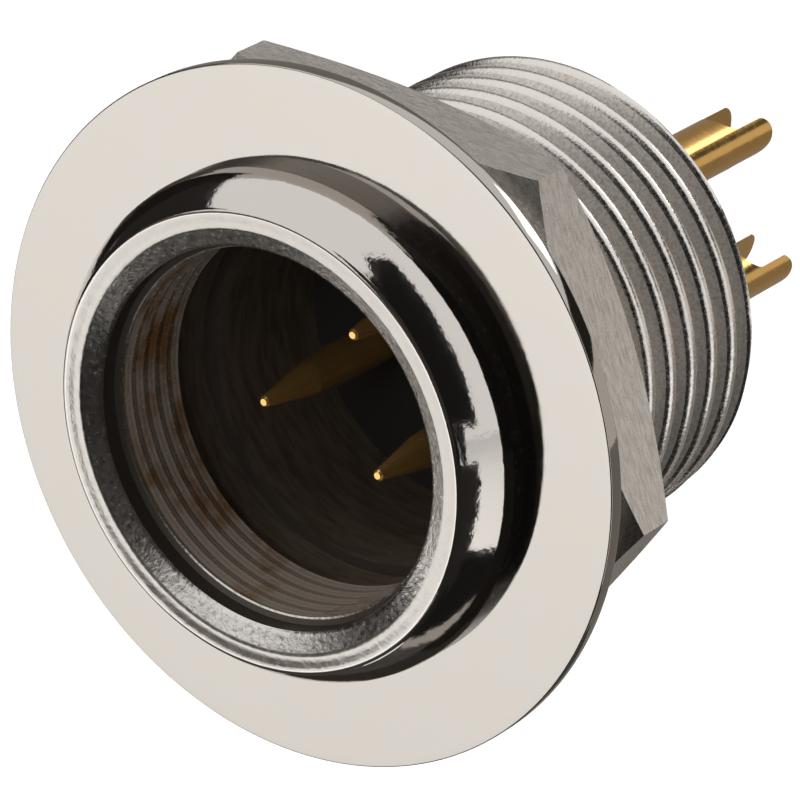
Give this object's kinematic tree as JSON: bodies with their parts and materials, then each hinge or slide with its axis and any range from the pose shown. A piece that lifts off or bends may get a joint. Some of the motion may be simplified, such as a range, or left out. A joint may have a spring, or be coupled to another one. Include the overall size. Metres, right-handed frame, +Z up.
{
  "type": "panel socket",
  "caption": "Miniature round panel socket with a flange, threaded barrel, hexagon nut, pin contacts and solder cups.",
  "frame": {"origin": "on the axis, in the plane of the flange's rear face, where the panel seats", "axes": "+Y along the axis, from the mouth to the solder cups; +Z up"},
  "size_m": [0.016, 0.0189, 0.016],
  "materials": {
    "nickel_shell": "satin nickel",
    "nickel_nut": "dull nickel",
    "insert_plastic": "moulded",
    "gold_contact": "gold plate"
  },
  "bodies": {
    "socket": {"shell": "nickel_shell", "insert_front_half": "insert_plastic", "insert_rear_half": "insert_plastic", "contact_1": "gold_contact", "contact_2": "gold_contact", "contact_3": "gold_contact"},
    "nut": {"hex_nut": "nickel_nut"}
  },
  "joints": [
    {"name": "nut_travel", "type": "slide", "parent": "socket", "child": "nut", "axis": [0, 1, 0], "range_m": [-0.00041, 0.0063]}
  ]
}
